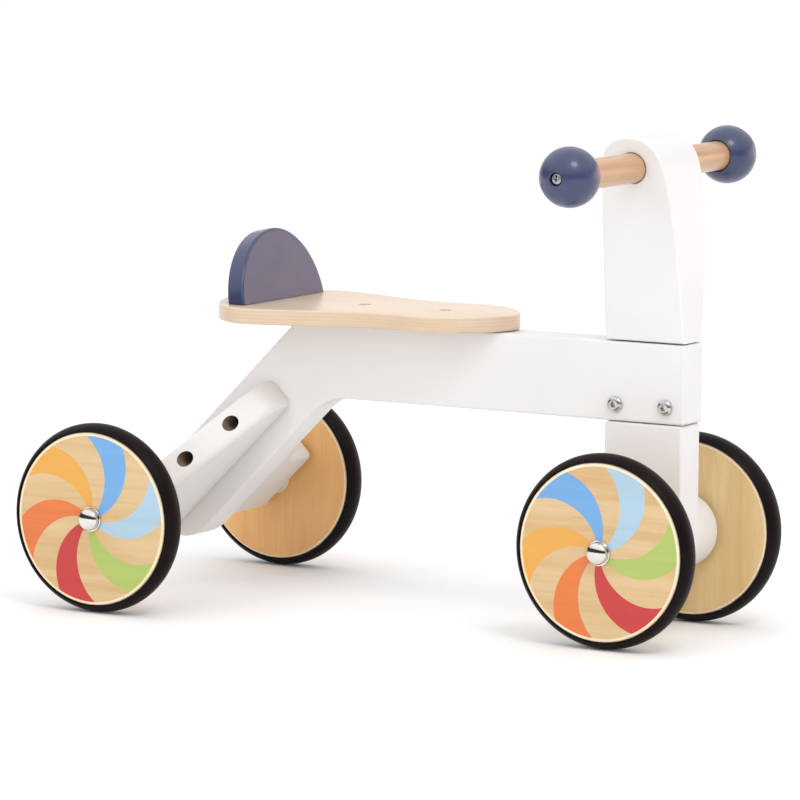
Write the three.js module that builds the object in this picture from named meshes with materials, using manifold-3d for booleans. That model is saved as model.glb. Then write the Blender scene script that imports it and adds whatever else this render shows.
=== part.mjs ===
import * as THREE from 'three';
import { mergeVertices } from 'three/addons/utils/BufferGeometryUtils.js';
import Module from 'manifold-3d';

// Four-wheeled wooden balance bike. Millimetres, +X front, +Y the rider's left, +Z up.
// The ground is Z = 0 and both axles run along Y.

// Wheels and axles
const AXLE_X = 180.9;
const AXLE_Z = 65.0;
const AXLE_R = 4.0;
const BORE_R = 4.35;
const TYRE_R = 65.0;
const TYRE_EDGE_R = 60.6;
const TYRE_INNER_R = 59.8;
const TYRE_W = 18.6;
const DISC_R = 59.5;
const DISC_W = 18.0;
const DISC_EDGE = 1.6;
const FRONT_FACE_Y = 73.0;
const REAR_FACE_Y = 129.3;
const WASHER_T = 1.2;
const WASHER_R = 8.6;
const CAP_R = 7.6;
const CAP_H = 5.6;
const CAP_BORE_DEPTH = 3.6;
const INNER_WASHER_R = 11.8;

// Frame
const BEAM_T = 27.2;
const BEAM_FRONT_X = 211.7;
const BEAM_TOP_Z = 197.7;
const BEAM_BOTTOM_Z = 144.4;
const LEG_HALF_W = 26.9;
const INNER_FILLET_R = 40.0;
const OUTER_FILLET_R = 14.0;
const CORNER_R = 2.0;
const EDGE = 1.6;
const GAP = 0.3;
const SLEEVE_BORE_R = 4.4;
const BOLT_BORE_R = 3.4;
const BEAM_BOLTS = [[160.8, 155.6], [198.0, 155.6]];

// Steering post (fixed)
const POST_REAR_X = 152.6;
const POST_FRONT_X = 211.0;
const POST_TOP_HALF_T = 29.5;
const POST_TOP_Z = 335.0;
const HEAD_BOTTOM_Z = 198.6;
const BROW = [POST_FRONT_X - 7.6, POST_TOP_Z - 29.0];
const CROWN = [POST_REAR_X + 24.4, POST_TOP_Z];
const NAPE = [POST_REAR_X + 1.9, POST_TOP_Z - 27.0];
const LOWER_POST_FRONT_X = 210.2;
const TENON_X0 = 155.8;
const TENON_X1 = 204.2;
const TENON_HALF_T = 5.5;
const TENON_TOP_Z = 222.0;
const SPACER_R = 25.0;
const SPACER_END_Y = 51.3;

// Handlebar
const BAR_X = 178.0;
const BAR_Z = 314.5;
const BAR_R = 10.0;
const BAR_HALF_L = 116.0;
const BALL_Y = 113.4;
const BALL_R = 19.85;
const BALL_SCREW_R = 3.8;
const BALL_RECESS_R = 4.4;
const BALL_RECESS_Y = BALL_Y + 15.6;
const PILOT_R = 2.3;

// Seat and backrest
const SEAT_Z = 198.3;
const SEAT_T = 10.6;
const SEAT_REAR_X = -146.0;
const SEAT_FRONT_X = 77.6;
const SEAT_LOBE = [-100.0, 68.4];
const SEAT_WAIST = [-3.0, 43.8];
const SEAT_BULGE = [27.0, 46.4];
const SEAT_EDGE = 1.3;
const SEAT_SCREW_X = [-40.8, 22.6];
const SCREW_R = 2.0;
const SCREW_HEAD_R = 4.2;
const SCREW_HEAD_H = 3.2;
const SCREW_LENGTH = 32.0;
const SLOT_W = 0.9;
const SLOT_L = 4.0;
const SLOT_DEPTH = 1.6;
const BACK_R = 53.7;
const BACK_SINK = 3.8;
const BACK_T = 13.0;
const BACK_FOOT_X = -105.5;
const BACK_LEAN = 11.0;
const BACK_SCREW_Y = 24.0;

// Rear brackets, drawn in leg coordinates: s runs down the leg, y outward
const BRACKET_W = 22.0;
const BRACKET_Y = 107.3;
const BRACKET_TOP_S = -33.0;
const BRACKET_BOTTOM_S = 103.0;
const BRACKET_BOLT_S = [-4.6, 29.6];
const BRACKET_STEP_S = 44.0;
const BRACKET_STEP_Y = 76.6;
const BRACKET_HEEL_Y = 31.4;
const BRACKET_EDGE = 1.2;
const BRACKET_SEAT_Y = 30.0;
const BRACKET_HOLE_R = 5.2;

const SQ = Math.SQRT1_2;
const AXLE_N = -(AXLE_X + AXLE_Z) * SQ;
const half = BEAM_T / 2;
const ARC_ERROR = 0.1;

const wasm = await Module();
wasm.setup();

const group = new THREE.Group();

const WHITE = { color: 0xf0eeea, roughness: 0.45 };
const BLUE = { color: 0x565c85, roughness: 0.4 };
const BIRCH = { color: 0xecd9bf, roughness: 0.55 };
const WOOD = { color: 0xddb083, roughness: 0.6 };
const WHEEL = { color: 0xe3c08c, roughness: 0.5 };
const RUBBER = { color: 0x2a2224, roughness: 0.55 };
const STEEL = { color: 0xb8b8bc, roughness: 0.3, metalness: 1.0 };
const CHROME = { color: 0xd8d8dc, roughness: 0.12, metalness: 1.0 };
const NYLON = { color: 0xe8e6e0, roughness: 0.5 };

function toManifold(geometry) {
  const g = geometry.clone();
  g.deleteAttribute('normal');
  g.deleteAttribute('uv');
  const m = mergeVertices(g, 1e-4);
  const verts = new Float32Array(m.attributes.position.array);
  const tris = new Uint32Array(m.index.array);
  return new wasm.Manifold(new wasm.Mesh({ numProp: 3, vertProperties: verts, triVerts: tris }));
}

function toGeometry(solid) {
  const mesh = solid.getMesh();
  const g = new THREE.BufferGeometry();
  g.setAttribute('position', new THREE.BufferAttribute(new Float32Array(mesh.vertProperties), 3));
  g.setIndex(new THREE.BufferAttribute(new Uint32Array(mesh.triVerts), 1));
  const flat = g.toNonIndexed();
  flat.computeVertexNormals();
  return flat;
}

function addPart(name, solid, look) {
  const geometry = solid.isBufferGeometry ? solid : toGeometry(solid);
  const mesh = new THREE.Mesh(geometry, new THREE.MeshStandardMaterial(look));
  mesh.name = name;
  group.add(mesh);
}

// Solid of revolution about Y: profile points are [radius, y]
function revolve(profile, segments) {
  const points = profile.map(([r, y]) => new THREE.Vector2(r, y));
  return new THREE.LatheGeometry(points, segments);
}

// Plain rod along Y between two heights
function rodY(radius, x, z, y0, y1, segments) {
  const g = new THREE.CylinderGeometry(radius, radius, y1 - y0, segments);
  g.translate(x, (y0 + y1) / 2, z);
  return toManifold(g);
}

function boxBetween(x0, x1, y0, y1, z0, z1) {
  const g = new THREE.BoxGeometry(x1 - x0, y1 - y0, z1 - z0);
  g.translate((x0 + x1) / 2, (y0 + y1) / 2, (z0 + z1) / 2);
  return toManifold(g);
}

// Closed outline through [u, v, radius] corners, each turned into an arc
function roundedLoop(corners) {
  const origin = new THREE.Vector2();
  const loop = [];
  corners.forEach(([u, v, radius], i) => {
    const here = new THREE.Vector2(u, v);
    const next = corners[(i + 1) % corners.length];
    const before = new THREE.Vector2(...corners.at(i - 1)).sub(here).normalize();
    const after = new THREE.Vector2(...next).sub(here).normalize();
    const turn = before.angleTo(after) / 2;
    const centre = before.clone().add(after).setLength(radius / Math.sin(turn)).add(here);
    const first = before.clone().multiplyScalar(radius / Math.tan(turn)).add(here).sub(centre);
    const sweep = -Math.sign(before.cross(after)) * (Math.PI - 2 * turn);
    const steps = Math.ceil(Math.abs(sweep) / Math.sqrt((8 * ARC_ERROR) / radius));
    for (let k = 0; k <= steps; k += 1) {
      const point = first.clone().rotateAround(origin, (sweep * k) / steps).add(centre);
      loop.push([point.x, point.y]);
    }
  });
  return loop;
}

// Outline drawn by a run of curves on a path
function pathPoints(path, divisions) {
  return path.getPoints(divisions).map((p) => [p.x, p.y]);
}

// Extrusion with eased edges. The outline keeps its full size in the middle.
function easedExtrusion(points, thickness, edge) {
  const shape = new THREE.Shape(points.map(([a, b]) => new THREE.Vector2(a, b)));
  const options = {
    depth: thickness - 2 * edge,
    bevelEnabled: true,
    bevelThickness: edge,
    bevelSize: edge,
    bevelOffset: -edge,
    bevelSegments: 1,
    steps: 1,
  };
  const g = new THREE.ExtrudeGeometry(shape, options);
  g.translate(0, 0, edge - thickness / 2);
  return g;
}

// Board lying in the X-Z plane, centred on Y = 0
function boardXZ(points, thickness, edge) {
  const g = easedExtrusion(points, thickness, edge);
  g.rotateX(Math.PI / 2);
  return toManifold(g);
}

function arc(cx, cz, r, a0, a1, steps) {
  const points = [];
  for (let i = 0; i <= steps; i += 1) {
    const a = THREE.MathUtils.degToRad(a0 + ((a1 - a0) * i) / steps);
    points.push([cx + r * Math.cos(a), cz + r * Math.sin(a)]);
  }
  return points;
}

function mirrored(solid) {
  return solid.mirror([0, 1, 0]);
}

// ---------------------------------------------------------------- main frame

function frameOutline() {
  const underX = (AXLE_N + LEG_HALF_W) / SQ + BEAM_BOTTOM_Z;
  const overX = (AXLE_N - LEG_HALF_W) / SQ + BEAM_TOP_Z;
  const reach = LEG_HALF_W * SQ;
  const endX = -AXLE_X - reach;
  const endZ = AXLE_Z - reach;
  const endR = LEG_HALF_W - 0.2;
  return roundedLoop([
    [BEAM_FRONT_X, BEAM_BOTTOM_Z, CORNER_R],
    [BEAM_FRONT_X, BEAM_TOP_Z, CORNER_R],
    [overX, BEAM_TOP_Z, OUTER_FILLET_R],
    [endX - reach, endZ + reach, endR],
    [endX + reach, endZ - reach, endR],
    [underX, BEAM_BOTTOM_Z, INNER_FILLET_R],
  ]);
}

function legPoint(s, n) {
  return [(-s + n) * SQ, (-s - n) * SQ];
}

function beamBoltBore(x, z) {
  const thin = rodY(BOLT_BORE_R, x, z, -40, 40, 16);
  const wide = rodY(SLEEVE_BORE_R, x, z, -4.8, 40, 16);
  return thin.add(wide);
}

let frame = boardXZ(frameOutline(), BEAM_T, EDGE);
const mortise = boxBetween(
  TENON_X0 - GAP, TENON_X1 + GAP,
  -TENON_HALF_T - GAP, TENON_HALF_T + GAP,
  BEAM_BOTTOM_Z - 5, BEAM_TOP_Z + 5,
);
frame = frame.subtract(mortise);
for (const [x, z] of BEAM_BOLTS) {
  frame = frame.subtract(beamBoltBore(x, z));
}
for (const s of BRACKET_BOLT_S) {
  const [x, z] = legPoint(s, AXLE_N);
  frame = frame.subtract(rodY(SLEEVE_BORE_R, x, z, -40, 40, 16));
}
for (const x of SEAT_SCREW_X) {
  const hole = new THREE.CylinderGeometry(2.4, 2.4, 60, 16);
  hole.rotateX(Math.PI / 2);
  hole.translate(x, 0, BEAM_TOP_Z + 6);
  frame = frame.subtract(toManifold(hole));
}
frame = frame.subtract(rodY(BORE_R, -AXLE_X, AXLE_Z, -40, 40, 20));
addPart('frame_main', frame, WHITE);

// ---------------------------------------------------------------- fixed post

// Outline of the head seen from the side: straight back, gently bowed front, round top
function headOutline() {
  const path = new THREE.Path();
  path.moveTo(POST_REAR_X, HEAD_BOTTOM_Z);
  path.lineTo(POST_FRONT_X, HEAD_BOTTOM_Z);
  path.bezierCurveTo(
    POST_FRONT_X - 0.2, HEAD_BOTTOM_Z + 42, POST_FRONT_X - 2.6, HEAD_BOTTOM_Z + 76, ...BROW,
  );
  path.bezierCurveTo(BROW[0] - 2.7, BROW[1] + 17, CROWN[0] + 15.5, POST_TOP_Z, ...CROWN);
  path.bezierCurveTo(CROWN[0] - 15.5, POST_TOP_Z, NAPE[0], NAPE[1] + 18.5, ...NAPE);
  return pathPoints(path, 8);
}

function headHalfThickness(z) {
  const share = (z - HEAD_BOTTOM_Z) / (POST_TOP_Z - HEAD_BOTTOM_Z);
  return half + (POST_TOP_HALF_T - half) * share;
}

// Outline drawn in from its widest and tallest places by a small amount
function insetOutline(points, amount) {
  const cx = (POST_REAR_X + POST_FRONT_X) / 2;
  const cz = (HEAD_BOTTOM_Z + POST_TOP_Z) / 2;
  const sx = 1 - (2 * amount) / (POST_FRONT_X - POST_REAR_X);
  const sz = 1 - (2 * amount) / (POST_TOP_Z - HEAD_BOTTOM_Z);
  return points.map(([x, z]) => [cx + (x - cx) * sx, cz + (z - cz) * sz]);
}

function headSolid() {
  const points = [];
  for (const [inset, drop] of [[2.2, 0], [0.7, 0.6], [0, 2.2]]) {
    for (const [x, z] of insetOutline(headOutline(), inset)) {
      const y = headHalfThickness(z) - drop;
      points.push([x, y, z], [x, -y, z]);
    }
  }
  return wasm.Manifold.hull(points);
}

let head = headSolid();
head = head.subtract(rodY(BAR_R + GAP, BAR_X, BAR_Z, -50, 50, 28));
head = head.subtract(boxBetween(
  TENON_X0 - GAP, TENON_X1 + GAP,
  -TENON_HALF_T - GAP, TENON_HALF_T + GAP,
  190, TENON_TOP_Z + 1,
));
addPart('post_upper', head, WHITE);

function lowerPostOutline() {
  const top = BEAM_BOTTOM_Z - 2 * GAP;
  const radius = (LOWER_POST_FRONT_X - POST_REAR_X) / 2;
  const bottom = AXLE_Z - radius;
  return roundedLoop([
    [POST_REAR_X, bottom, radius - 0.2],
    [LOWER_POST_FRONT_X, bottom, radius - 0.2],
    [LOWER_POST_FRONT_X, top, CORNER_R],
    [POST_REAR_X, top, CORNER_R],
  ]);
}

let lower = boardXZ(lowerPostOutline(), BEAM_T, EDGE);
lower = lower.add(boxBetween(
  TENON_X0, TENON_X1, -TENON_HALF_T, TENON_HALF_T, BEAM_BOTTOM_Z - 10, TENON_TOP_Z,
));
for (const [x, z] of BEAM_BOLTS) {
  lower = lower.subtract(beamBoltBore(x, z));
}
lower = lower.subtract(rodY(BORE_R, AXLE_X, AXLE_Z, -40, 40, 20));
addPart('post_lower', lower, WHITE);

const spacer = revolve([
  [BORE_R, half + GAP], [SPACER_R, half + GAP], [SPACER_R, SPACER_END_Y - 1.5],
  [SPACER_R - 1.5, SPACER_END_Y], [BORE_R, SPACER_END_Y], [BORE_R, half + GAP],
], 36).translate(AXLE_X, 0, AXLE_Z);
addPart('front_spacer_left', toManifold(spacer), WHITE);
addPart('front_spacer_right', mirrored(toManifold(spacer)), WHITE);

// ---------------------------------------------------------------- post bolts

// Button head with a hexagon socket, shank towards +Y, head face at y0
function socketBolt(headR, headH, socketR, shankR, length) {
  const profile = [
    [0, 0], [headR * 0.62, 0], [headR * 0.88, headH * 0.28], [headR, headH * 0.7],
    [headR, headH], [shankR, headH], [shankR, headH + length], [0, headH + length],
  ];
  const socket = new THREE.CylinderGeometry(socketR, socketR, headH * 1.5, 6);
  return toManifold(revolve(profile, 16)).subtract(toManifold(socket));
}

// Sleeve nut: same head, hollow sleeve towards -Y, head face at y = 0
function sleeveNut(headR, headH, socketR, sleeveR, length) {
  const profile = [
    [0, 0], [headR * 0.62, 0], [headR * 0.88, -headH * 0.28], [headR, -headH * 0.7],
    [headR, -headH], [sleeveR, -headH], [sleeveR, -headH - length],
    [3.4, -headH - length], [3.4, -headH - 0.5], [0, -headH - 0.5],
  ].reverse();
  const socket = new THREE.CylinderGeometry(socketR, socketR, headH, 6);
  return toManifold(revolve(profile, 16)).subtract(toManifold(socket));
}

BEAM_BOLTS.forEach(([x, z], i) => {
  const end = ['rear', 'front'][i];
  const bolt = socketBolt(5.3, 3.2, 2.3, 3.0, 22).translate([x, -half - 3.3, z]);
  addPart(`post_bolt_${end}`, bolt, STEEL);
  const nut = sleeveNut(5.3, 3.2, 2.3, 4.0, 16).translate([x, half + 3.3, z]);
  addPart(`post_sleeve_nut_${end}`, nut, STEEL);
});

// ---------------------------------------------------------------- handlebar

let bar = toManifold(revolve([
  [0, -BAR_HALF_L], [BAR_R - 1, -BAR_HALF_L], [BAR_R, -BAR_HALF_L + 1],
  [BAR_R, BAR_HALF_L - 1], [BAR_R - 1, BAR_HALF_L], [0, BAR_HALF_L],
], 28).translate(BAR_X, 0, BAR_Z));
bar = bar.subtract(rodY(PILOT_R, BAR_X, BAR_Z, BAR_HALF_L - 20, BAR_HALF_L + 1, 16));
bar = bar.subtract(rodY(PILOT_R, BAR_X, BAR_Z, -BAR_HALF_L - 1, 20 - BAR_HALF_L, 16));
addPart('handlebar', bar, WOOD);

function ballSolid() {
  const g = new THREE.SphereGeometry(BALL_R, 24, 14);
  g.translate(BAR_X, BALL_Y, BAR_Z);
  let ball = toManifold(g);
  ball = ball.subtract(rodY(BAR_R + GAP, BAR_X, BAR_Z, BALL_Y - 30, BAR_HALF_L + GAP, 28));
  ball = ball.subtract(rodY(PILOT_R, BAR_X, BAR_Z, BAR_HALF_L - 5, BALL_Y + 30, 16));
  return ball.subtract(rodY(BALL_RECESS_R, BAR_X, BAR_Z, BALL_RECESS_Y, BALL_Y + 30, 20));
}

// Cross recess in a screw head whose face is at height z = 0, cut downwards
function crossSlot() {
  const slot = boxBetween(-SLOT_L / 2, SLOT_L / 2, -SLOT_W / 2, SLOT_W / 2, -SLOT_DEPTH, 4);
  return slot.add(slot.rotate([0, 0, 90]));
}

function ballScrew() {
  const base = BALL_RECESS_Y + GAP;
  const top = base + 2.4;
  const screw = revolve([
    [0, base - 28], [SCREW_R, base - 28], [SCREW_R, base], [BALL_SCREW_R, base],
    [BALL_SCREW_R, base + 1.6], [BALL_SCREW_R - 0.8, top], [0, top],
  ], 16).translate(BAR_X, 0, BAR_Z);
  const slot = crossSlot().rotate([-90, 0, 0]).translate([BAR_X, top, BAR_Z]);
  return toManifold(screw).subtract(slot);
}

addPart('handlebar_ball_left', ballSolid(), BLUE);
addPart('handlebar_ball_right', mirrored(ballSolid()), BLUE);
addPart('ball_screw_left', ballScrew(), CHROME);
addPart('ball_screw_right', mirrored(ballScrew()), CHROME);

// ---------------------------------------------------------------- seat

// Saddle outline from above: wide rounded rear, waist and nose
function seatOutline() {
  const path = new THREE.Path();
  path.moveTo(SEAT_REAR_X, 0);
  path.bezierCurveTo(SEAT_REAR_X, 30, SEAT_LOBE[0] - 21, SEAT_LOBE[1], ...SEAT_LOBE);
  path.bezierCurveTo(
    SEAT_LOBE[0] + 26, SEAT_LOBE[1], SEAT_WAIST[0] - 31, SEAT_WAIST[1], ...SEAT_WAIST,
  );
  path.bezierCurveTo(
    SEAT_WAIST[0] + 12, SEAT_WAIST[1], SEAT_BULGE[0] - 11, SEAT_BULGE[1], ...SEAT_BULGE,
  );
  path.bezierCurveTo(SEAT_BULGE[0] + 26, SEAT_BULGE[1], SEAT_FRONT_X, 15, SEAT_FRONT_X, 0);
  const left = pathPoints(path, 7);
  const right = left.slice(1, -1).reverse().map(([x, y]) => [x, -y]);
  return [...left, ...right].reverse();
}

const screwHeadTop = SEAT_Z + SEAT_T - 0.5;

// Countersunk screw pointing towards -Y with its face at y = 0
function countersunkScrew() {
  return revolve([
    [0, -SCREW_LENGTH], [SCREW_R, -SCREW_LENGTH], [SCREW_R, -SCREW_HEAD_H],
    [SCREW_HEAD_R, -1], [SCREW_HEAD_R, 0], [0, 0],
  ], 16);
}

function seatScrew(x) {
  const screw = toManifold(countersunkScrew().rotateX(Math.PI / 2));
  return screw.subtract(crossSlot()).translate([x, 0, screwHeadTop]);
}

function screwCutter(x, y, faceZ, up) {
  const hole = SCREW_R + 0.4;
  const mouth = SCREW_HEAD_R + 0.5;
  const g = revolve([
    [0, -40], [hole, -40], [hole, -SCREW_HEAD_H], [mouth, -1], [mouth, 6], [0, 6],
  ], 16).rotateX(Math.PI / 2);
  if (!up) {
    g.rotateX(Math.PI);
  }
  g.translate(x, y, faceZ);
  return toManifold(g);
}

const seatBoard = easedExtrusion(seatOutline(), SEAT_T, SEAT_EDGE);
let seat = toManifold(seatBoard.translate(0, 0, SEAT_Z + SEAT_T / 2));
for (const x of SEAT_SCREW_X) {
  seat = seat.subtract(screwCutter(x, 0, screwHeadTop, true));
}

const lean = THREE.MathUtils.degToRad(BACK_LEAN);
const backScrewX = BACK_FOOT_X - BACK_T / (2 * Math.cos(lean)) - 2;

function backrestSolid() {
  const g = easedExtrusion(arc(0, -BACK_SINK, BACK_R, -5, 185, 30), BACK_T, SEAT_EDGE);
  g.translate(0, 0, -BACK_T / 2);
  g.rotateX(Math.PI / 2);
  g.rotateZ(Math.PI / 2);
  g.rotateY(-lean);
  g.translate(BACK_FOOT_X, 0, SEAT_Z + SEAT_T);
  return toManifold(g);
}

let back = backrestSolid();
back = back.subtract(boxBetween(-220, 0, -90, 90, SEAT_Z - 60, SEAT_Z + SEAT_T + GAP));
for (const y of [-BACK_SCREW_Y, BACK_SCREW_Y]) {
  const cutter = screwCutter(backScrewX, y, SEAT_Z + 0.5, false);
  seat = seat.subtract(cutter);
  back = back.subtract(cutter);
}
addPart('seat', seat, BIRCH);
addPart('backrest', back, BLUE);
addPart('seat_screw_rear', seatScrew(SEAT_SCREW_X[0]), STEEL);
addPart('seat_screw_front', seatScrew(SEAT_SCREW_X[1]), STEEL);

function backScrew(y) {
  const screw = toManifold(countersunkScrew().rotateX(-Math.PI / 2));
  return screw.translate([backScrewX, y, SEAT_Z + 0.5]);
}

addPart('backrest_screw_left', backScrew(BACK_SCREW_Y), STEEL);
addPart('backrest_screw_right', backScrew(-BACK_SCREW_Y), STEEL);

// ---------------------------------------------------------------- rear brackets

// Sawn outline of the left bracket in leg coordinates [s, y]: a slanted wedge that
// steps out to the axle boss
function bracketOutline() {
  const inner = half + GAP;
  return roundedLoop([
    [BRACKET_TOP_S, inner, 1.5],
    [BRACKET_BOTTOM_S, inner, 3],
    [BRACKET_BOTTOM_S, BRACKET_Y, 3.2],
    [BRACKET_STEP_S, BRACKET_Y, 3.2],
    [BRACKET_STEP_S, BRACKET_STEP_Y, 3],
    [BRACKET_TOP_S, BRACKET_HEEL_Y, 27],
  ]);
}

function bracketSolid() {
  const g = easedExtrusion(bracketOutline(), BRACKET_W, BRACKET_EDGE);
  const basis = new THREE.Matrix4().makeBasis(
    new THREE.Vector3(-SQ, 0, -SQ), new THREE.Vector3(0, 1, 0), new THREE.Vector3(SQ, 0, -SQ),
  );
  g.applyMatrix4(basis);
  g.translate(AXLE_N * SQ, 0, -AXLE_N * SQ);
  let bracket = toManifold(g);
  for (const s of BRACKET_BOLT_S) {
    const [x, z] = legPoint(s, AXLE_N);
    bracket = bracket.subtract(rodY(BRACKET_HOLE_R, x, z, BRACKET_SEAT_Y, 120, 20));
    bracket = bracket.subtract(rodY(SLEEVE_BORE_R, x, z, 0, BRACKET_SEAT_Y + 1, 16));
  }
  return bracket.subtract(rodY(BORE_R, -AXLE_X, AXLE_Z, 0, 130, 20));
}

const bracket = bracketSolid();
addPart('rear_bracket_left', bracket, WHITE);
addPart('rear_bracket_right', mirrored(bracket), WHITE);

BRACKET_BOLT_S.forEach((s, i) => {
  const level = ['upper', 'lower'][i];
  const [x, z] = legPoint(s, AXLE_N);
  const bolt = socketBolt(4.8, 3.4, 2.3, 3.0, 50).translate([x, -BRACKET_SEAT_Y - 3.5, z]);
  addPart(`bracket_bolt_${level}`, bolt, STEEL);
  const nut = sleeveNut(4.8, 3.4, 2.3, 4.0, 22).translate([x, BRACKET_SEAT_Y + 3.5, z]);
  addPart(`bracket_sleeve_nut_${level}`, nut, STEEL);
});

// ---------------------------------------------------------------- axles and wheels

function axle(x, faceY) {
  const end = faceY + GAP + WASHER_T + 3.4;
  return toManifold(revolve([
    [0, -end], [AXLE_R - 0.6, -end], [AXLE_R, -end + 0.6], [AXLE_R, end - 0.6],
    [AXLE_R - 0.6, end], [0, end],
  ], 24).translate(x, 0, AXLE_Z));
}

addPart('axle_front', axle(AXLE_X, FRONT_FACE_Y), STEEL);
addPart('axle_rear', axle(-AXLE_X, REAR_FACE_Y), STEEL);

// Wheel disc, outer face at y = 0 and the body towards -y
function discSolid() {
  const b = DISC_EDGE;
  return toManifold(revolve([
    [BORE_R, -DISC_W], [DISC_R - b, -DISC_W], [DISC_R, -DISC_W + b], [DISC_R, -b],
    [DISC_R - b, 0], [BORE_R, 0], [BORE_R, -DISC_W],
  ], 44));
}

// Tyre with an evenly rounded tread, centred on the disc
function tyreSolid() {
  const side = TYRE_W / 2;
  const rise = TYRE_R - TYRE_EDGE_R;
  const crownR = (side * side + rise * rise) / (2 * rise);
  const sweep = THREE.MathUtils.radToDeg(Math.asin(side / crownR));
  const crown = arc(TYRE_R - crownR, -DISC_W / 2, crownR, -sweep, sweep, 10);
  const inner = [TYRE_INNER_R, -DISC_W / 2 + side];
  return toManifold(revolve([inner, [TYRE_INNER_R, inner[1] - TYRE_W], ...crown, inner], 44));
}

// Push-on cap: domed outside, blind bore inside, flat side at y = 0
function capSolid() {
  return toManifold(revolve([
    [BORE_R, 0], [CAP_R, 0], [CAP_R, 1.8], [CAP_R - 1.0, 3.7], [CAP_R - 3.6, 5.1],
    [0, CAP_H], [0, CAP_BORE_DEPTH], [BORE_R, CAP_BORE_DEPTH], [BORE_R, 0],
  ], 20));
}

function washerSolid(radius, thickness) {
  return toManifold(revolve([
    [BORE_R, 0], [radius, 0], [radius, thickness], [BORE_R, thickness], [BORE_R, 0],
  ], 24));
}

function wheelSet(end, x, faceY, hubY) {
  const innerT = faceY - DISC_W - hubY - 2 * GAP;
  const place = (solid, y) => solid.translate([x, y, AXLE_Z]);
  const pieces = [
    ['wheel_disc', place(discSolid(), faceY), WHEEL],
    ['tyre', place(tyreSolid(), faceY), RUBBER],
    ['hub_washer', place(washerSolid(WASHER_R, WASHER_T), faceY + GAP), CHROME],
    ['axle_cap', place(capSolid(), faceY + 2 * GAP + WASHER_T), CHROME],
    ['inner_washer', place(washerSolid(INNER_WASHER_R, innerT), hubY + GAP), NYLON],
  ];
  for (const [kind, solid, look] of pieces) {
    addPart(`${kind}_${end}_left`, solid, look);
    addPart(`${kind}_${end}_right`, mirrored(solid), look);
  }
}

wheelSet('front', AXLE_X, FRONT_FACE_Y, SPACER_END_Y);
wheelSet('rear', -AXLE_X, REAR_FACE_Y, BRACKET_Y);

export default group;
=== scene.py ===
"""Looks of the four-wheeled wooden balance bike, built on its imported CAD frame. Metres, +X front, +Z up."""

import math

import bmesh
import bpy
from mathutils import Matrix, Vector
from mathutils.geometry import tessellate_polygon


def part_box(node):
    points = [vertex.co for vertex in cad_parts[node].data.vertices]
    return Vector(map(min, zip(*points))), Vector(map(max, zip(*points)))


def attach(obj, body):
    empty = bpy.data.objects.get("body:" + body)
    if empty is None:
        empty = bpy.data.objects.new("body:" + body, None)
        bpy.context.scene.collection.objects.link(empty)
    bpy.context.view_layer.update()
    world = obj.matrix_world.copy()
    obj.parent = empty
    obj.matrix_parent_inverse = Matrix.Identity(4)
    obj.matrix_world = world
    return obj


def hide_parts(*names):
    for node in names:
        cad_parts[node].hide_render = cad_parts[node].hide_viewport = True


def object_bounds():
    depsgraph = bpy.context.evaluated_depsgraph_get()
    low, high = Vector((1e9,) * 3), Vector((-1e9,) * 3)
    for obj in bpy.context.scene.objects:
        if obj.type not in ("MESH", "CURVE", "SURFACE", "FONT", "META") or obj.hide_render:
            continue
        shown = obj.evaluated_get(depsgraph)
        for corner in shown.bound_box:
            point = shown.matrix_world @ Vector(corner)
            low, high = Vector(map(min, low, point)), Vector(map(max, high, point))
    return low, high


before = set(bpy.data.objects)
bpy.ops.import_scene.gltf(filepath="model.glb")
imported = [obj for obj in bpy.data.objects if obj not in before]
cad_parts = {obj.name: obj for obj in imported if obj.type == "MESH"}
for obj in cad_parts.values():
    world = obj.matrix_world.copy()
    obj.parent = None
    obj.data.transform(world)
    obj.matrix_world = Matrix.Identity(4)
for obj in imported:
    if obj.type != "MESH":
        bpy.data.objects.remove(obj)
CAD_LOW, CAD_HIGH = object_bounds()

MM = 0.001
# Distances in metres under which points become one: in a drawn solid, and after a boolean cut
SAME_POINT = 1e-7
WELD = 0.000002
# Small turn of each driver socket, so that its corners miss the edges of the head around it
CUT_TURN = math.radians(1.7)
SIDES = ("left", "right")
ENDS = ("front", "rear")
ROOT = "chassis"


def span(node):
    """Lowest and highest corner of a CAD node, in millimetres."""
    low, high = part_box(node)
    return low / MM, high / MM


def middle_of(node):
    low, high = span(node)
    return (low + high) / 2


# ---------------------------------------------------------------- outlines


def arc(centre, radius, start, end, steps):
    """Points on an arc between two angles in degrees."""
    turn = [math.radians(start + (end - start) * i / steps) for i in range(steps + 1)]
    return [(centre[0] + radius * math.cos(a), centre[1] + radius * math.sin(a)) for a in turn]


def bezier(a, b, c, d, steps=24):
    """Points of a cubic curve, without its last one."""
    points = []
    for i in range(steps):
        t = i / steps
        weights = ((1 - t) ** 3, 3 * t * (1 - t) ** 2, 3 * t * t * (1 - t), t**3)
        points.append(tuple(sum(w * p[k] for w, p in zip(weights, (a, b, c, d))) for k in (0, 1)))
    return points


def rounded(corners, steps=10):
    """Closed loop through (u, v, radius) corners, each turned into an arc."""
    loop = []
    for i, (u, v, radius) in enumerate(corners):
        here = Vector((u, v))
        before = (Vector(corners[i - 1][:2]) - here).normalized()
        after = (Vector(corners[(i + 1) % len(corners)][:2]) - here).normalized()
        half = before.angle(after) / 2
        centre = here + (before + after).normalized() * radius / math.sin(half)
        first = here + before * radius / math.tan(half) - centre
        last = here + after * radius / math.tan(half) - centre
        sweep = first.angle_signed(last)
        for k in range(steps + 1):
            spin = Matrix.Rotation(-sweep * k / steps, 2)
            loop.append(tuple(centre + spin @ first))
    return loop


def area(loop):
    return sum(a[0] * b[1] - b[0] * a[1] for a, b in zip(loop, loop[1:] + loop[:1])) / 2


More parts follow.
